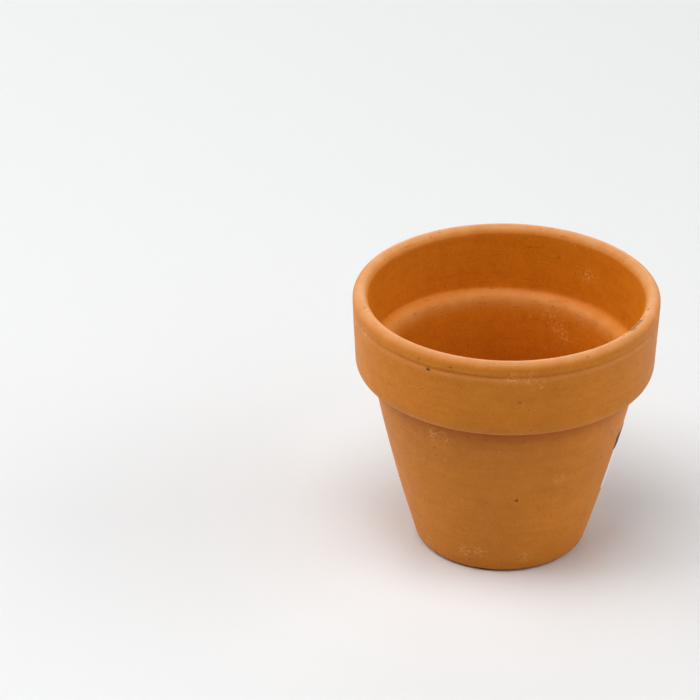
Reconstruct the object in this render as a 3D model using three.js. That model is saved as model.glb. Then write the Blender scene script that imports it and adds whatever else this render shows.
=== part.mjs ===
// Clay flower pot with a collar and one drain hole, and a paper price label on its wall.
// Millimetres, +Z up. The origin is the centre of the pot's underside, and the front is -Y.

import * as THREE from 'three';

// Driving dimensions of the pot.
const RIM_DIAMETER = 108;
const HEIGHT = 97;
const FOOT_DIAMETER = 61.4;
const COLLAR_HEIGHT = 30.5;
const COLLAR_OVERHANG = 6.9;
const WALL_THICKNESS = 4.3;
const RIM_THICKNESS = 5.1;
const FLOOR_THICKNESS = 7;
const DRAIN_HOLE_DIAMETER = 12;

// Shape of the clay's corners and edges.
const FOOT_ROUNDING = 3;
const FLOOR_ROUNDING = 4;
const WALL_BARREL = 0.85;
const COLLAR_LEAN = 1.05;
const COLLAR_CORNER_RISE = 4.8;
const RIDGE_DROP = 6.4;
const GROOVE_RISE = 1.2;
const GROOVE_DEPTH = 0.35;
const LIP_CROWN_SETBACK = 2.4;
const LIP_ROUNDING = 2.6;

// Shoulder inside the pot, where the collar's thick wall steps in to the body's.
const SHOULDER_RISE = 7.5;
const SHOULDER_DROP = 4;
const SHOULDER_SLOPE = 0.9;
const SHOULDER_ROUNDING = 2.6;
const COLLAR_THICKNESS = 6.1;

// Driving dimensions of the price label.
const LABEL_WIDTH = 38;
const LABEL_BOTTOM = 24.8;
const LABEL_RISE = 23.3;
const LABEL_THICKNESS = 0.2;
const LABEL_GAP = 0.3;
const LABEL_FRONT_ANGLE = THREE.MathUtils.degToRad(-19);

// Facets round the pot, along each wall and along each rounded corner.
const SEGMENTS = 64;
const WALL_STEPS = 6;
const CORNER_STEPS = 5;

const rimRadius = RIM_DIAMETER / 2;
const footRadius = FOOT_DIAMETER / 2;
const drainRadius = DRAIN_HOLE_DIAMETER / 2;
const collarBottom = HEIGHT - COLLAR_HEIGHT;
const neckRadius = rimRadius - COLLAR_OVERHANG;
const collarLowerRadius = rimRadius - COLLAR_LEAN;

// Outer radius of the body wall at a height above the underside: a slightly barrelled cone.
function wallRadius(height) {
  const along = (height - FOOT_ROUNDING) / (collarBottom - FOOT_ROUNDING);
  const barrel = WALL_BARREL * 4 * along * (1 - along);
  return THREE.MathUtils.lerp(footRadius, neckRadius, along) + barrel;
}

function innerWallRadius(height) {
  return wallRadius(height) - WALL_THICKNESS;
}

// Points of an elliptical corner about (radius, height), from one angle in degrees to another.
function corner(radius, height, across, up, fromDegrees, toDegrees) {
  const points = [];
  for (let step = 0; step <= CORNER_STEPS; step += 1) {
    const degrees = THREE.MathUtils.lerp(fromDegrees, toDegrees, step / CORNER_STEPS);
    const angle = THREE.MathUtils.degToRad(degrees);
    points.push(new THREE.Vector2(
      radius + across * Math.cos(angle),
      height + up * Math.sin(angle)
    ));
  }
  return points;
}

// Points between two heights on a wall whose radius is given by a function of height.
function wall(radiusAt, fromHeight, toHeight) {
  const points = [];
  for (let step = 1; step < WALL_STEPS; step += 1) {
    const height = THREE.MathUtils.lerp(fromHeight, toHeight, step / WALL_STEPS);
    points.push(new THREE.Vector2(radiusAt(height), height));
  }
  return points;
}

// Underside, rounded foot and body wall, from the drain hole's lower edge up to the collar.
function bodyOutside() {
  const foot = corner(
    footRadius - FOOT_ROUNDING, FOOT_ROUNDING, FOOT_ROUNDING, FOOT_ROUNDING, -90, -15
  );
  const bodyWall = wall(wallRadius, FOOT_ROUNDING, collarBottom);
  return [new THREE.Vector2(drainRadius, 0), ...foot, ...bodyWall];
}

// The collar's rounded lower corner, its outer wall, and the shallow groove under the lip.
function collarOutside() {
  const lowerCorner = corner(
    neckRadius, collarBottom + COLLAR_CORNER_RISE,
    collarLowerRadius - neckRadius, COLLAR_CORNER_RISE, -90, 0
  );
  const ridgeHeight = HEIGHT - RIDGE_DROP;
  return [
    ...lowerCorner,
    new THREE.Vector2(rimRadius, ridgeHeight),
    new THREE.Vector2(rimRadius - GROOVE_DEPTH, ridgeHeight + GROOVE_RISE),
    new THREE.Vector2(rimRadius, ridgeHeight + 2 * GROOVE_RISE),
  ];
}

// The rounded lip, from its outer side over the crown to its inner side.
function lip() {
  const crownRadius = rimRadius - LIP_CROWN_SETBACK;
  const lipBase = HEIGHT - LIP_ROUNDING;
  const outerHalf = corner(
    crownRadius, lipBase, LIP_CROWN_SETBACK, LIP_ROUNDING, 0, 90
  );
  const innerHalf = corner(
    crownRadius, lipBase, RIM_THICKNESS - LIP_CROWN_SETBACK, LIP_ROUNDING, 90, 180
  );
  return [...outerHalf, ...innerHalf.slice(1)];
}

// Inside of the pot: the rounded shoulder, the body wall, the floor and the drain hole's edge.
function inside() {
  const shoulderTop = collarBottom + SHOULDER_RISE;
  const shoulderBottom = shoulderTop - SHOULDER_SLOPE - SHOULDER_DROP;
  const shoulderCorner = corner(
    innerWallRadius(shoulderBottom) + SHOULDER_ROUNDING, shoulderBottom,
    SHOULDER_ROUNDING, SHOULDER_DROP, 90, 180
  );
  const floorCornerTop = FLOOR_THICKNESS + FLOOR_ROUNDING;
  const floorCorner = corner(
    innerWallRadius(floorCornerTop) - FLOOR_ROUNDING, floorCornerTop,
    FLOOR_ROUNDING, FLOOR_ROUNDING, 0, -90
  );
  return [
    new THREE.Vector2(collarLowerRadius - COLLAR_THICKNESS, shoulderTop),
    ...shoulderCorner,
    ...wall(innerWallRadius, shoulderBottom, floorCornerTop),
    ...floorCorner,
    new THREE.Vector2(drainRadius, FLOOR_THICKNESS),
  ];
}

// The fired clay: foot, body, collar, lip and floor are one piece turned round the axis.
function makePotBody() {
  const profile = [...bodyOutside(), ...collarOutside(), ...lip(), ...inside()];
  profile.push(profile[0].clone());
  const geometry = new THREE.LatheGeometry(profile, SEGMENTS);
  geometry.rotateX(Math.PI / 2);
  const clay = new THREE.MeshStandardMaterial({ color: 0xc07a42, roughness: 0.85, metalness: 0 });
  const body = new THREE.Mesh(geometry, clay);
  body.name = 'pot_body';
  return body;
}

// A thin rectangle bent round the right side of the body wall, running towards the back.
function makePriceLabel() {
  const geometry = new THREE.BoxGeometry(LABEL_WIDTH, LABEL_RISE, LABEL_THICKNESS, 14, 4, 1);
  const position = geometry.attributes.position;
  for (let index = 0; index < position.count; index += 1) {
    const alongWidth = position.getX(index) + LABEL_WIDTH / 2;
    const height = LABEL_BOTTOM + LABEL_RISE / 2 + position.getY(index);
    const lift = LABEL_GAP + LABEL_THICKNESS / 2 + position.getZ(index);
    const radius = wallRadius(height) + lift;
    const angle = LABEL_FRONT_ANGLE + alongWidth / radius;
    position.setXYZ(index, radius * Math.cos(angle), radius * Math.sin(angle), height);
  }
  geometry.computeVertexNormals();
  const paper = new THREE.MeshStandardMaterial({ color: 0xf0ece6, roughness: 0.6, metalness: 0 });
  const label = new THREE.Mesh(geometry, paper);
  label.name = 'price_label';
  return label;
}

const terracottaPot = new THREE.Group();
terracottaPot.add(makePotBody());
terracottaPot.add(makePriceLabel());

export default terracottaPot;
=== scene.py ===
"""Looks of a plain clay flower pot with a paper price label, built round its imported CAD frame."""
import math

import bpy
import numpy as np
from mathutils import Matrix, Vector, noise


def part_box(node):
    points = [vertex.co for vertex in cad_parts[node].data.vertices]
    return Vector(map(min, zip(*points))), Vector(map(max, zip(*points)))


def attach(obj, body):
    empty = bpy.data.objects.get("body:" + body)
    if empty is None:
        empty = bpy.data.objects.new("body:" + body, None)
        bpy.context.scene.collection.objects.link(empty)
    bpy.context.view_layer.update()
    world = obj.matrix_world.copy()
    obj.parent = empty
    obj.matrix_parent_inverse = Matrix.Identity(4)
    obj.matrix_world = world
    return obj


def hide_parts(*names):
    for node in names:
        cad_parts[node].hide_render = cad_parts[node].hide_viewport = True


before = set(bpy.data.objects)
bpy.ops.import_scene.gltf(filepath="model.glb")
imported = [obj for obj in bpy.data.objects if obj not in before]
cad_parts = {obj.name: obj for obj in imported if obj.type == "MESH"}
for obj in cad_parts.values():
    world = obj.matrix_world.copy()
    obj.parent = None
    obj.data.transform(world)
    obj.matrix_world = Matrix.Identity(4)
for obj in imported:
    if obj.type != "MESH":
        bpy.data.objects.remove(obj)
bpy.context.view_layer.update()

# Sizes are in millimetres, like the CAD's, and MM turns them into Blender's metres.
MM = 0.001
pot_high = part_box("pot_body")[1]
label_low, label_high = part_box("price_label")

# The pot's section: the CAD body's box gives the two sizes that the rest is worked out from.
RIM_RADIUS = pot_high.x / MM
HEIGHT = pot_high.z / MM
FOOT_RADIUS = RIM_RADIUS - 23.3
FOOT_ROUNDING = 3.0
COLLAR_BOTTOM = HEIGHT - 30.5
NECK_RADIUS = RIM_RADIUS - 6.9
NECK_ROUNDING = 0.5
COLLAR_FOOT_RADIUS = RIM_RADIUS - 1.25
COLLAR_ROUNDING = 5.0
RIDGE_HEIGHT = HEIGHT - 6.4
RIDGE_ROUNDING = 1.2
GROOVE_RADIUS = RIM_RADIUS - 0.42
GROOVE_HEIGHT = HEIGHT - 5.2
GROOVE_ROUNDING = 0.25
LIP_RADIUS = RIM_RADIUS + 0.1
LIP_UNDERSIDE = HEIGHT - 4.3
LIP_UNDERSIDE_ROUNDING = 0.9
LIP_ROUNDING = 2.3
CROWN_RADIUS = RIM_RADIUS - 4.15
CROWN_ROUNDING = 2.8
MOUTH_RADIUS = RIM_RADIUS - 5.1
MOUTH_HEIGHT = HEIGHT - 2.3
MOUTH_ROUNDING = 0.7
SHOULDER_RADIUS = RIM_RADIUS - 7.1
SHOULDER_HEIGHT = COLLAR_BOTTOM + 7.5
SHOULDER_EDGE_ROUNDING = 1.6
SHOULDER_SLOPE = 1.5
SHOULDER_ROUNDING = 4.6
SHOULDER_THICKENING = 0.7
WALL_THICKNESS = 4.3
WALL_BARREL = 0.85
FLOOR_HEIGHT = 7.0
FLOOR_ROUNDING = 4.0
DRAIN_RADIUS = 6.0
DRAIN_ROUNDING = 0.9

# Mesh fineness: points round the pot, points in each rounded corner, and ring spacings.
SEGMENTS = 400
ARC_STEPS = 9
FINE = 0.6
MEDIUM = 1.1
COARSE = 2.0
HIDDEN = 4.0

# How far a real pressed and fired pot is from true: the rim and the shoulder lie a little askew.
RIM_RISE_RIGHT = 0.35
RIM_RISE_BACK = 0.55
RIM_SETTLE = 0.05
SHOULDER_RISE_RIGHT = -0.7
SHOULDER_MARGIN = 1.5
SHOULDER_BLEND = 2.0
SHOULDER_REACH = 12.0
WAVINESS = 0.10
WAVE_LENGTH = 22.0
WAVE_SEED = 3.7
TURNING_DEPTH = 0.05
TURNING_SPREAD = (70.0, 70.0, 2.2)
TURNING_SEED = 11.3
FLAT_FOOT_HEIGHT = 4.0
BARREL_START_RADIUS = 20.0
BARREL_BLEND = 8.0

# Where a pale highlight is painted on the rounded lip, ridge and shoulder: radius, height, reach and
# strength in the section.
PAINTED_HIGHLIGHT_EDGES = {
    "lip": (RIM_RADIUS - 3.1, HEIGHT, 2.8, 1.0),
    "ridge": (RIM_RADIUS, RIDGE_HEIGHT + 0.2, 0.8, 0.3),
    "shoulder": (SHOULDER_RADIUS - 4.6, SHOULDER_HEIGHT - 1.2, 3.8, 0.85),
}
# Painted shade: how far it reaches below the collar, and where it starts and deepens inside.
COLLAR_SHADE_DEPTH = 9.0
INSIDE_SHADE_TOP = 78.0
INSIDE_SHADE_DEPTH = 42.0
MOUTH_MARGIN = 1.0
FLOOR_BLEND = 2.0

# Small marks in the clay: degrees round from the right side, radius, height, and half width.
CHIPS = [
    (-12.0, 50.6, 96.9, 0.6),
    (-19.0, 50.4, 96.8, 0.5),
    (-22.5, 50.4, 96.8, 1.0),
    (-25.5, 50.2, 96.7, 1.1),
    (-28.0, 50.5, 96.9, 0.9),
    (-30.5, 50.3, 96.8, 1.3),
    (-33.5, 50.3, 96.7, 0.6),
    (-37.0, 50.9, 97.0, 0.5),
    (-66.0, 49.9, 96.5, 0.5),
    (-69.5, 49.9, 96.5, 0.8),
    (-73.0, 49.9, 96.5, 0.5),
    (36.0, 53.5, 96.2, 0.9),
    (-163.0, 51.4, 97.0, 0.7),
    (-160.0, 50.9, 97.0, 0.6),
    (-119.0, 54.0, 90.2, 0.7),
    (-123.0, 54.0, 93.6, 0.5),
    (-110.0, 54.0, 93.4, 0.5),
    (-82.0, 39.3, 35.0, 0.6),
    (75.0, 41.5, 68.0, 0.6),
]
SCUFFS = [
    (-155.6, 54.0, 90.4, 2.2),
    (-87.0, 54.0, 91.0, 2.2),
    (-82.0, 54.0, 90.4, 2.0),
    (-77.0, 54.0, 88.2, 2.0),
    (-112.0, 33.0, 8.0, 2.6),
    (-102.0, 33.0, 9.0, 2.6),
    (-73.0, 32.4, 7.4, 2.6),
    (-143.0, 31.5, 5.0, 2.4),
    (-122.0, 46.0, 60.4, 2.4),
    (-116.0, 46.0, 60.0, 2.2),
    (-61.0, 41.7, 42.6, 2.0),
    (68.0, 41.4, 67.0, 2.4),
    (63.0, 40.8, 64.0, 2.6),
    (58.0, 40.0, 61.0, 2.2),
    (53.0, 47.6, 85.0, 2.4),
]
CHIP_DEPTH = 0.3
CHIP_SPREAD = 1.3
# How far the painted highlight fades out, in reaches.
PAINTED_HIGHLIGHT_SPREAD = 1.5

# Camera, floor and backdrop, in metres and radians.
CAMERA_DISTANCE = 1.4997
CAMERA_ELEVATION = math.radians(28.872)
CAMERA_AIM_HEIGHT = 0.0486
CAMERA_YAW = math.radians(2.3933)
CAMERA_PITCH = math.radians(28.0757)
CAMERA_ROLL = math.radians(0.6177)
CAMERA_LENS = 216.0
FLOOR_SIZE = 12.0
BACKDROP_RADIUS = 1.75
BACKDROP_HEIGHT = 3.0
BACKDROP_SEGMENTS = 96


def smoothstep(value):
    """0 to 1 as value goes from 0 to 1, level at both ends."""
    value = np.clip(value, 0.0, 1.0)
    return value * value * (3.0 - 2.0 * value)


# ---------------------------------------------------------------- section of the pot

def barrel(height):
    """How far the body wall bulges outside a straight cone at a height."""
    along = np.clip(height / COLLAR_BOTTOM, 0.0, 1.0)
    return WALL_BARREL * 4.0 * along * (1.0 - along)


def cone_radius(height):
    """Radius of the straight cone through the foot's edge and the neck."""
    slope = (NECK_RADIUS - FOOT_RADIUS) / (COLLAR_BOTTOM - FOOT_ROUNDING)
    return NECK_RADIUS - slope * (COLLAR_BOTTOM - height)


def wall_radius(height):
    """Outer radius of the body wall."""
    return cone_radius(height) + barrel(height)


def section_corners():
    """Corners of half the pot's section: radius, height, rounding, and the ring spacing after it."""
    shoulder_inner = SHOULDER_HEIGHT - SHOULDER_SLOPE
    shoulder_wall = cone_radius(shoulder_inner) - WALL_THICKNESS - SHOULDER_THICKENING
    return [
        (DRAIN_RADIUS, 0.0, DRAIN_ROUNDING, HIDDEN),
        (cone_radius(0.0), 0.0, FOOT_ROUNDING, COARSE),
        (NECK_RADIUS, COLLAR_BOTTOM, NECK_ROUNDING, FINE),
        (COLLAR_FOOT_RADIUS, COLLAR_BOTTOM, COLLAR_ROUNDING, MEDIUM),
        (RIM_RADIUS, RIDGE_HEIGHT, RIDGE_ROUNDING, FINE),
        (GROOVE_RADIUS, GROOVE_HEIGHT, GROOVE_ROUNDING, FINE),
        (LIP_RADIUS, LIP_UNDERSIDE, LIP_UNDERSIDE_ROUNDING, FINE),
        (LIP_RADIUS, HEIGHT, LIP_ROUNDING, FINE),
        (CROWN_RADIUS, HEIGHT, CROWN_ROUNDING, FINE),
        (MOUTH_RADIUS, MOUTH_HEIGHT, MOUTH_ROUNDING, MEDIUM),
        (SHOULDER_RADIUS, SHOULDER_HEIGHT, SHOULDER_EDGE_ROUNDING, FINE),
        (shoulder_wall, shoulder_inner, SHOULDER_ROUNDING, COARSE),
        (cone_radius(FLOOR_HEIGHT) - WALL_THICKNESS, FLOOR_HEIGHT, FLOOR_ROUNDING, HIDDEN),
        (DRAIN_RADIUS, FLOOR_HEIGHT, DRAIN_ROUNDING, HIDDEN),
    ]


def corner_arc(before, here, after, rounding):
    """Points of the arc that rounds the corner at here, and that touches both its sides."""
    back = (before - here) / np.linalg.norm(before - here)
    ahead = (after - here) / np.linalg.norm(after - here)
    half_angle = math.acos(float(np.clip(back @ ahead, -1.0, 1.0))) / 2.0
    middle = (back + ahead) / np.linalg.norm(back + ahead)
    centre = here + middle * rounding / math.sin(half_angle)
    start = here + back * rounding / math.tan(half_angle) - centre
    turn = math.pi - 2.0 * half_angle
    if back[0] * ahead[1] - back[1] * ahead[0] > 0.0:
        turn = -turn
    points = []
    for step in range(ARC_STEPS + 1):
        angle = turn * step / ARC_STEPS
        cosine, sine = math.cos(angle), math.sin(angle)
        across = start[0] * cosine - start[1] * sine
        up = start[0] * sine + start[1] * cosine
        points.append(centre + (across, up))
    return points


def section_points():
    """The pot's section as a closed loop of points, rounded at the corners and ringed between."""
    corners = section_corners()
    places = [np.array(corner[:2]) for corner in corners]
    arcs = []
    for index, corner in enumerate(corners):
        after = places[(index + 1) % len(places)]
        arcs.append(corner_arc(places[index - 1], places[index], after, corner[2]))
    points = []
    for index, arc in enumerate(arcs):
        points.extend(arc)
        start, end = arc[-1], arcs[(index + 1) % len(arcs)][0]
        steps = max(1, round(np.linalg.norm(end - start) / corners[index][3]))
        points.extend(start + (end - start) * step / steps for step in range(1, steps))
    return np.array(points)


# ---------------------------------------------------------------- clay surface

def noise_field(positions, scale, seed):
    """Smooth noise from about -1 to 1 at each position, in millimetres divided by scale."""
    flat = positions.reshape(-1, 3) / np.asarray(scale) + seed
    values = [noise.noise(Vector(point)) for point in flat]
    return np.array(values).reshape(positions.shape[:-1])


def waviness(positions):
    """Slow unevenness of a hand-finished clay wall."""
    return WAVINESS * noise_field(positions, WAVE_LENGTH, WAVE_SEED)


def turning_marks(positions):
    """Shallow rings that run round the wall, left by turning it."""
    return TURNING_DEPTH * noise_field(positions, TURNING_SPREAD, TURNING_SEED)


def askew(positions):
    """How much higher each point lies than on a true pot, as the rim and shoulder lean."""
    x, y, z = positions[..., 0], positions[..., 1], positions[..., 2]
    radius = np.hypot(x, y)
    collar = smoothstep((z - COLLAR_BOTTOM) / (RIDGE_HEIGHT - COLLAR_BOTTOM))
    rim = collar * (RIM_SETTLE + (RIM_RISE_RIGHT * x + RIM_RISE_BACK * y) / RIM_RADIUS)
    inside = smoothstep((SHOULDER_RADIUS + SHOULDER_MARGIN - radius) / SHOULDER_BLEND)
    near = smoothstep(1.0 - abs(z - SHOULDER_HEIGHT) / SHOULDER_REACH)
    return rim + inside * near * (SHOULDER_RISE_RIGHT * x / SHOULDER_RADIUS - rim)


def mark_place(degrees, radius, height):
    """The place of a mark, in millimetres."""
    angle = math.radians(degrees)
    return np.array((radius * math.cos(angle), radius * math.sin(angle), height))


def chip_depth(positions):
    """How deep the small chips cut in at each position."""
    depth = np.zeros(positions.shape[:-1])
    for degrees, radius, height, half_width in CHIPS:
        away = np.linalg.norm(positions - mark_place(degrees, radius, height), axis=-1)
        depth = np.maximum(depth, CHIP_DEPTH * smoothstep(CHIP_SPREAD - away / half_width))
    return depth


def painted_highlight_mask(section):
    """How strongly a pale highlight is painted on at each section point, 0 to 1."""
    painted_highlight = np.zeros(len(section))
    for radius, height, reach, strength in PAINTED_HIGHLIGHT_EDGES.values():
        away = np.hypot(section[:, 0] - radius, section[:, 1] - height)
        painted_highlight = np.maximum(painted_highlight, strength * smoothstep(PAINTED_HIGHLIGHT_SPREAD - away / reach))
    return painted_highlight


def inside_mask(section):
    """1 on the section points of the pot's inside, 0 on the rest."""
    radius, height = section[:, 0], section[:, 1]
    mid_wall = cone_radius(height) - WALL_THICKNESS / 2.0
    middle = np.where(height > SHOULDER_HEIGHT, MOUTH_RADIUS + MOUTH_MARGIN, mid_wall)
    return (radius < middle) * smoothstep((height - FLOOR_HEIGHT / 2.0) / FLOOR_BLEND)


def shade_mask(section):
    """How far painted shade darkens the clay at each section point, 0 to 1: under the collar and
    deep inside.
    """
    height = section[:, 1]
    inside = inside_mask(section)
    below = (height < COLLAR_BOTTOM + NECK_ROUNDING) * (1.0 - inside)
    under_collar = below * smoothstep(1.0 - (COLLAR_BOTTOM - height) / COLLAR_SHADE_DEPTH)
    deep = inside * smoothstep((INSIDE_SHADE_TOP - height) / INSIDE_SHADE_DEPTH)
    return np.maximum(under_collar, deep)


def make_pot():
    """The whole clay body as one closed mesh."""
    section = section_points()
    tangents = np.roll(section, -1, axis=0) - np.roll(section, 1, axis=0)
    tangents /= np.linalg.norm(tangents, axis=1)[:, None]
    barrelled = smoothstep((section[:, 0] - BARREL_START_RADIUS) / BARREL_BLEND)
    radii = section[:, 0] + barrel(section[:, 1]) * barrelled
    angles = np.arange(SEGMENTS) * 2.0 * math.pi / SEGMENTS
    cosines, sines = np.cos(angles), np.sin(angles)
    heights = np.repeat(section[:, 1][:, None], SEGMENTS, axis=1)
    positions = np.stack((np.outer(radii, cosines), np.outer(radii, sines), heights), axis=2)
    normals = np.stack((
        np.outer(tangents[:, 1], cosines),
        np.outer(tangents[:, 1], sines),
        np.repeat(-tangents[:, 0][:, None], SEGMENTS, axis=1),
    ), axis=2)
    lift = waviness(positions) + turning_marks(positions)
    lift *= smoothstep(section[:, 1] / FLAT_FOOT_HEIGHT)[:, None]
    lift -= chip_depth(positions)
    shaped = positions + normals * lift[..., None]
    shaped[..., 2] += askew(positions)
    pot = mesh_object("pot", shaped.reshape(-1, 3), ring_faces(len(section), SEGMENTS))
    # Painted highlight on the rounded edges.
    add_mask(pot, "painted_highlight", painted_highlight_mask(section))
    # Painted shade under the collar and deep inside.
    add_mask(pot, "shade", shade_mask(section))
    add_mask(pot, "inside", inside_mask(section))
    return pot


def add_mask(piece, name, ring_values):
    """Stores one value per ring on all the points of a turned piece."""
    attribute = piece.data.attributes.new(name, "FLOAT", "POINT")
    attribute.data.foreach_set("value", np.repeat(ring_values, SEGMENTS).astype(np.float32))


def ring_faces(rings, segments):
    """Quads between rings that close on themselves both ways."""
    faces = []
    for ring in range(rings):
        above = (ring + 1) % rings
        for segment in range(segments):
            beside = (segment + 1) % segments
            faces.append((
                ring * segments + segment,
                ring * segments + beside,
                above * segments + beside,
                above * segments + segment,
            ))
    return faces


def mesh_object(name, points, faces):
    """A smooth-shaded object from points in millimetres."""
    mesh = bpy.data.meshes.new(name)
    mesh.from_pydata([tuple(point) for point in points * MM], [], faces)
    mesh.shade_smooth()
    mesh.validate()
    piece = bpy.data.objects.new(name, mesh)
    bpy.context.scene.collection.objects.link(piece)
    return piece


# ---------------------------------------------------------------- price label

LABEL_WIDTH = 38.0
LABEL_CORNER = 1.6
LABEL_PAPER = 0.12
LABEL_BAND = 6.0
LABEL_CLEARANCE = 0.05
LABEL_FRONT_ANGLE = math.radians(-19.0)
LABEL_COLUMNS = 60
LABEL_ROWS = 40


def make_label():
    """A thin paper rectangle with rounded corners, wrapped on the body wall."""
    bottom, top = label_low.z / MM, label_high.z / MM
    points = []
    for side in (0.0, 1.0):
        for row in range(LABEL_ROWS + 1):
            height = bottom + (top - bottom) * row / LABEL_ROWS
            from_edge = min(height - bottom, top - height, LABEL_CORNER)
            inset = LABEL_CORNER - math.sqrt(LABEL_CORNER ** 2 - (LABEL_CORNER - from_edge) ** 2)
            for column in range(LABEL_COLUMNS + 1):
                along = inset + (LABEL_WIDTH - 2.0 * inset) * column / LABEL_COLUMNS
                points.append(label_point(along, height, side * LABEL_PAPER))
    return mesh_object("label", np.array(points), label_faces())


def label_point(along, height, lift):
    """A point on the label, from the distance along its width and the lift off its back."""
    angle = LABEL_FRONT_ANGLE + along / wall_radius(height)
    radius = wall_radius(height)
    on_wall = np.array((radius * math.cos(angle), radius * math.sin(angle), height))
    radius += waviness(on_wall[None])[0] + turning_marks(on_wall[None])[0]
    radius += LABEL_CLEARANCE + lift
    return (radius * math.cos(angle), radius * math.sin(angle), height)


def label_faces():
    """Faces of a closed sheet: its back, its front and the rim between."""
    across = LABEL_COLUMNS + 1
    layer = across * (LABEL_ROWS + 1)
    faces = []
    for row in range(LABEL_ROWS):
        for column in range(LABEL_COLUMNS):
            corner = row * across + column
            quad = (corner, corner + 1, corner + 1 + across, corner + across)
            faces.append(tuple(reversed(quad)))
            faces.append(tuple(index + layer for index in quad))
    edge = list(range(across))
    edge += [row * across + LABEL_COLUMNS for row in range(1, LABEL_ROWS + 1)]
    edge += [LABEL_ROWS * across + column for column in range(LABEL_COLUMNS - 1, -1, -1)]
    edge += [row * across for row in range(LABEL_ROWS - 1, 0, -1)]
    for index, start in enumerate(edge):
        end = edge[(index + 1) % len(edge)]
        faces.append((start, end, end + layer, start + layer))
    return faces


# ---------------------------------------------------------------- materials

def new_material(name):
    """A node material, its node tree and its Principled shader."""
    material = bpy.data.materials.new(name)
    material.use_nodes = True
    return material, material.node_tree, material.node_tree.nodes["Principled BSDF"]


def add_node(tree, kind, inputs=None, **settings):
    """A node with its settings and input values or links."""
    made = tree.nodes.new(kind)
    for key, value in settings.items():
        setattr(made, key, value)
    for key, value in (inputs or {}).items():
        if isinstance(value, bpy.types.NodeSocket):
            tree.links.new(value, made.inputs[key])
        else:
            made.inputs[key].default_value = value
    return made


def grid_noise(tree, place, scale, detail=2.0, roughness=0.5):
    """Noise over the object's own place, as a value from 0 to 1."""
    made = add_node(tree, "ShaderNodeTexNoise", {
        "Vector": place, "Scale": scale, "Detail": detail, "Roughness": roughness,
    })
    return made.outputs["Fac"]


def remap(tree, value, low, high, to_low, to_high):
    """Value taken from one range to another, clamped."""
    made = add_node(tree, "ShaderNodeMapRange", {
        "Value": value, "From Min": low, "From Max": high, "To Min": to_low, "To Max": to_high,
    })
    return made.outputs["Result"]


def mix_colour(tree, factor, first, second, blend="MIX"):
    """Colour mixed from two by a factor."""
    made = add_node(tree, "ShaderNodeMix", data_type="RGBA", blend_type=blend)
    sockets = {0: factor, 6: first, 7: second}
    for index, value in sockets.items():
        if isinstance(value, bpy.types.NodeSocket):
            tree.links.new(value, made.inputs[index])
        else:
            made.inputs[index].default_value = value
    return made.outputs[2]


# Noise scales, in cells per metre, from the broadest to the finest.
CLOUD_SCALE = 38.0
PATCH_SCALE = 170.0
MOTTLE_SCALE = 240.0
PALE_SPECK_SCALE = 480.0
PORE_SCALE = 520.0
DARK_SPECK_SCALE = 620.0
RAGGED_SCALE = 900.0
SCRATCH_SCALE = 1100.0
GRAIN_SCALE = 1500.0
FINE_GRAIN_SCALE = 1800.0
STREAK_STRETCH = (30.0, 30.0, 620.0)
TOOL_STRETCH = (160.0, 160.0, 1500.0)
RAGGED_REACH = 0.0022

# Clay colours, shine and bump depths.
CLAY_DARK = (0.585, 0.175, 0.005, 1.0)
CLAY_PALE = (0.775, 0.268, 0.018, 1.0)
# Paler colour of the painted highlight on the rounded edges.
CLAY_PAINTED_HIGHLIGHT = (0.76, 0.37, 0.15, 1.0)
# Multiplier of the painted shade under the collar and deep inside.
CLAY_SHADE = (0.80, 0.62, 0.40, 1.0)
# Deeper, darker tint of the inside: painted shade of the hollow.
CLAY_INSIDE_SHADE = (1.0, 0.90, 0.50, 1.0)
# Near black of the chips: dirt in them and painted shade in their hollows.
CHIP_DIRT_AND_SHADE = (0.10, 0.042, 0.018, 1.0)
SPECK_COLOUR = (0.24, 0.075, 0.010, 1.0)
SCUFF_COLOUR = (0.90, 0.47, 0.13, 1.0)
CLAY_SPECULAR = 0.2
CLAY_DIFFUSE_ROUGHNESS = 0.5
BUMP_STRENGTH = 0.35
GRAIN_DEPTH = 0.00012
PORE_DEPTH = 0.00025


def clay_tone(tree, place):
    """Dark to pale variation of the clay: clouds, mottling, turned streaks and sandy grain."""
    stretched = add_node(tree, "ShaderNodeMapping", {"Vector": place, "Scale": STREAK_STRETCH})
    layers = [
        (grid_noise(tree, place, CLOUD_SCALE), 0.35),
        (grid_noise(tree, place, MOTTLE_SCALE, 3.0), 0.35),
        (grid_noise(tree, stretched.outputs["Vector"], 1.0), 0.25),
        (grid_noise(tree, place, GRAIN_SCALE, roughness=0.7), 0.65),
    ]
    tone = 0.5
    for value, weight in layers:
        change = remap(tree, value, 0.0, 1.0, -weight, weight)
        tone = add_node(tree, "ShaderNodeMath", {0: tone, 1: change}, operation="ADD").outputs[0]
    return tone


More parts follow.
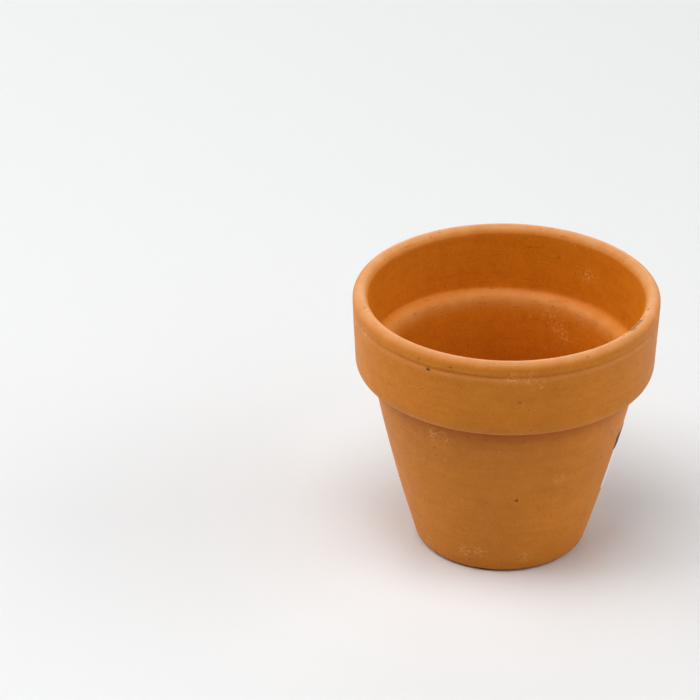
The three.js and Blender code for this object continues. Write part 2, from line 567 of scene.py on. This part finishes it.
def marks_mask(tree, place, marks, softness):
    """One value that is 1 on the given marks and 0 elsewhere, with ragged edges."""
    ragged = add_node(tree, "ShaderNodeTexNoise", {
        "Vector": place, "Scale": RAGGED_SCALE, "Detail": 2.0,
    })
    shift = add_node(tree, "ShaderNodeVectorMath", {
        0: ragged.outputs["Color"], 1: (0.5, 0.5, 0.5),
    }, operation="SUBTRACT")
    moved = add_node(tree, "ShaderNodeVectorMath", {
        0: shift.outputs["Vector"], 1: (RAGGED_REACH, RAGGED_REACH, RAGGED_REACH), 2: place,
    }, operation="MULTIPLY_ADD")
    mask = 0.0
    for degrees, radius, height, half_width in marks:
        centre = tuple(mark_place(degrees, radius, height) * MM)
        away = add_node(tree, "ShaderNodeVectorMath", {
            0: moved.outputs["Vector"], 1: centre,
        }, operation="DISTANCE").outputs["Value"]
        outer = half_width * MM * (1.0 + softness)
        inner = half_width * MM * (1.0 - softness)
        near = remap(tree, away, outer, inner, 0.0, 1.0)
        mask = add_node(tree, "ShaderNodeMath", {0: mask, 1: near}, operation="MAXIMUM").outputs[0]
    return mask


def thin_lines(tree, place):
    """Noise drawn out sideways, like the lines that a shaping tool leaves."""
    stretched = add_node(tree, "ShaderNodeMapping", {"Vector": place, "Scale": TOOL_STRETCH})
    return grid_noise(tree, stretched.outputs["Vector"], 1.0, 3.0, 0.6)


def scaled(tree, value, factor):
    """Value times a factor, which may be a number or another value."""
    return add_node(tree, "ShaderNodeMath", {0: value, 1: factor}, operation="MULTIPLY").outputs[0]


def mesh_mask(tree, name):
    """One of the masks stored on the pot's points."""
    return add_node(tree, "ShaderNodeAttribute", attribute_name=name).outputs["Fac"]


def clay_colour(tree, place):
    """The clay's colour, with painted highlights on its rounded edges, painted shade under the
    collar and inside, specks, chips and scuffs.
    """
    colour = mix_colour(tree, clay_tone(tree, place), CLAY_DARK, CLAY_PALE)
    # Painted highlight: the rounded edges are mixed paler, in patches, where the top lamp's shine
    # falls.
    patches = remap(tree, grid_noise(tree, place, PATCH_SCALE, 3.0), 0.3, 0.7, 0.55, 1.0)
    painted_highlight = mesh_mask(tree, "painted_highlight")
    colour = mix_colour(tree, scaled(tree, painted_highlight, patches), colour, CLAY_PAINTED_HIGHLIGHT)
    # Painted shade under the collar and deep inside the pot.
    colour = mix_colour(tree, mesh_mask(tree, "shade"), colour, CLAY_SHADE, "MULTIPLY")
    inside = mesh_mask(tree, "inside")
    # The whole inside is tinted darker and deeper orange, a painted shade of the hollow.
    colour = mix_colour(tree, inside, colour, CLAY_INSIDE_SHADE, "MULTIPLY")
    tooling = remap(tree, thin_lines(tree, place), 0.38, 0.30, 0.0, 0.35)
    colour = mix_colour(tree, scaled(tree, tooling, inside), colour, SPECK_COLOUR)
    dark_specks = remap(tree, grid_noise(tree, place, DARK_SPECK_SCALE, 1.0), 0.27, 0.22, 0.0, 0.55)
    colour = mix_colour(tree, dark_specks, colour, SPECK_COLOUR)
    pale_specks = remap(tree, grid_noise(tree, place, PALE_SPECK_SCALE, 1.0), 0.76, 0.82, 0.0, 0.4)
    colour = mix_colour(tree, pale_specks, colour, SCUFF_COLOUR)
    scratches = remap(tree, grid_noise(tree, place, SCRATCH_SCALE, 3.0, 0.6), 0.52, 0.60, 0.0, 0.6)
    scuffs = scaled(tree, marks_mask(tree, place, SCUFFS, 0.6), scratches)
    colour = mix_colour(tree, scuffs, colour, SCUFF_COLOUR)
    # Chips are coloured near black: dirt in them and painted shade in their hollows.
    chips = scaled(tree, marks_mask(tree, place, CHIPS, 0.5), 0.9)
    return mix_colour(tree, chips, colour, CHIP_DIRT_AND_SHADE)


def clay_material():
    """Unglazed fired clay: mottled, finely sandy and matt."""
    material, tree, shader = new_material("terracotta")
    place = add_node(tree, "ShaderNodeTexCoord").outputs["Object"]
    tree.links.new(clay_colour(tree, place), shader.inputs["Base Color"])
    grain = grid_noise(tree, place, FINE_GRAIN_SCALE, 3.0, 0.7)
    tree.links.new(remap(tree, grain, 0.3, 0.7, 0.44, 0.58), shader.inputs["Roughness"])
    pores = grid_noise(tree, place, PORE_SCALE)
    fine = add_node(tree, "ShaderNodeBump", {
        "Strength": BUMP_STRENGTH, "Distance": GRAIN_DEPTH, "Height": grain,
    })
    coarse = add_node(tree, "ShaderNodeBump", {
        "Strength": BUMP_STRENGTH, "Distance": PORE_DEPTH, "Height": pores,
        "Normal": fine.outputs["Normal"],
    })
    tree.links.new(coarse.outputs["Normal"], shader.inputs["Normal"])
    shader.inputs["Specular IOR Level"].default_value = CLAY_SPECULAR
    shader.inputs["Diffuse Roughness"].default_value = CLAY_DIFFUSE_ROUGHNESS
    return material


PAPER_COLOUR = (0.93, 0.91, 0.87, 1.0)
BAND_COLOUR = (0.03, 0.018, 0.014, 1.0)
FLOOR_COLOUR = (0.765, 0.772, 0.775, 1.0)
BACKDROP_COLOUR = (0.66, 0.66, 0.67, 1.0)
BLACK = (0.0, 0.0, 0.0, 1.0)


def paper_material():
    """Smooth white label paper, near black along its top."""
    material, tree, shader = new_material("label_paper")
    place = add_node(tree, "ShaderNodeTexCoord").outputs["Object"]
    height = add_node(tree, "ShaderNodeSeparateXYZ", {"Vector": place}).outputs["Z"]
    band_edge = label_high.z - LABEL_BAND * MM
    band = add_node(tree, "ShaderNodeMath", {0: height, 1: band_edge}, operation="GREATER_THAN")
    colour = mix_colour(tree, band.outputs[0], PAPER_COLOUR, BAND_COLOUR)
    tree.links.new(colour, shader.inputs["Base Color"])
    shader.inputs["Roughness"].default_value = 0.5
    return material


def floor_material():
    """Plain pale studio floor."""
    material, _, shader = new_material("studio_floor")
    shader.inputs["Base Color"].default_value = FLOOR_COLOUR
    shader.inputs["Roughness"].default_value = 0.8
    return material


# ---------------------------------------------------------------- studio

def make_floor():
    """A large flat floor under the pot."""
    half = FLOOR_SIZE / 2.0 / MM
    corners = np.array([
        (-half, -half, 0.0), (half, -half, 0.0), (half, half, 0.0), (-half, half, 0.0),
    ])
    floor = mesh_object("floor", corners, [(0, 1, 2, 3)])
    floor.data.materials.append(floor_material())


def backdrop_material():
    """Plain pale grey that glows evenly, so that it needs no lamp of its own."""
    material, _, shader = new_material("studio_backdrop")
    shader.inputs["Base Color"].default_value = BLACK
    shader.inputs["Specular IOR Level"].default_value = 0.0
    shader.inputs["Emission Color"].default_value = BACKDROP_COLOUR
    shader.inputs["Emission Strength"].default_value = 1.0
    return material


def make_backdrop():
    """A round wall that hides the dark distance from low views, and lights nothing."""
    points = []
    for height in (0.0, BACKDROP_HEIGHT):
        for segment in range(BACKDROP_SEGMENTS):
            angle = 2.0 * math.pi * segment / BACKDROP_SEGMENTS
            across, along = BACKDROP_RADIUS * math.cos(angle), BACKDROP_RADIUS * math.sin(angle)
            points.append((across, along, height))
    faces = []
    for segment in range(BACKDROP_SEGMENTS):
        beside = (segment + 1) % BACKDROP_SEGMENTS
        faces.append((segment, beside, beside + BACKDROP_SEGMENTS, segment + BACKDROP_SEGMENTS))
    wall = mesh_object("backdrop", np.array(points) / MM, faces)
    wall.data.materials.append(backdrop_material())
    wall.visible_diffuse = False
    wall.visible_glossy = False
    wall.visible_transmission = False
    wall.visible_shadow = False


def make_camera():
    """A long lens in front of the pot, looking down at it."""
    data = bpy.data.cameras.new("camera")
    data.lens = CAMERA_LENS
    data.sensor_width = 36.0
    data.clip_end = 100.0
    camera = bpy.data.objects.new("camera", data)
    turn = (
        Matrix.Rotation(CAMERA_YAW, 4, "Z")
        @ Matrix.Rotation(math.pi / 2.0 - CAMERA_PITCH, 4, "X")
        @ Matrix.Rotation(CAMERA_ROLL, 4, "Z")
    )
    place = Vector((
        0.0,
        -CAMERA_DISTANCE * math.cos(CAMERA_ELEVATION),
        CAMERA_AIM_HEIGHT + CAMERA_DISTANCE * math.sin(CAMERA_ELEVATION),
    ))
    camera.matrix_world = Matrix.Translation(place) @ turn
    bpy.context.scene.collection.objects.link(camera)
    bpy.context.scene.camera = camera


LIGHTS = {
    # name: azimuth and elevation in degrees, size in metres, power in watts
    "left": (-90.0, 38.0, 1.0, 10.0),
    "left_front": (-45.0, 52.0, 0.8, 2.5),
    "top": (-25.0, 76.0, 0.8, 12.0),
    "right_front": (45.0, 42.0, 0.8, 3.0),
    "right": (90.0, 28.0, 1.0, 8.6),
    "back": (180.0, 18.0, 0.8, 4.7),
    "back_left": (-135.0, 18.0, 0.8, 4.9),
    "back_right": (135.0, 30.0, 0.8, 1.6),
}
LIGHT_DISTANCE = 1.5


def make_lights():
    """Soft lamps all round, each aimed at the pot."""
    aim = Vector((0.0, 0.0, HEIGHT * MM / 2.0))
    for name, (azimuth, elevation, size, power) in LIGHTS.items():
        turn, rise = math.radians(azimuth), math.radians(elevation)
        towards = Vector((
            math.sin(turn) * math.cos(rise), -math.cos(turn) * math.cos(rise), math.sin(rise),
        ))
        data = bpy.data.lights.new(name, "AREA")
        data.size = size
        data.energy = power
        lamp = bpy.data.objects.new(name, data)
        facing = towards.to_track_quat("Z", "Y").to_matrix().to_4x4()
        lamp.matrix_world = Matrix.Translation(aim + towards * LIGHT_DISTANCE) @ facing
        lamp.visible_camera = False
        bpy.context.scene.collection.objects.link(lamp)
    world = bpy.data.worlds.new("studio")
    world.use_nodes = True
    world.node_tree.nodes["Background"].inputs["Color"].default_value = BLACK
    bpy.context.scene.world = world


def add_piece(piece, node, material):
    """Puts a finished piece in place of its CAD node."""
    piece.data.materials.append(material)
    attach(piece, "root")
    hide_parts(node)


make_camera()
add_piece(make_pot(), "pot_body", clay_material())
add_piece(make_label(), "price_label", paper_material())
make_floor()
make_backdrop()
make_lights()
bpy.context.scene.view_settings.view_transform = "Standard"
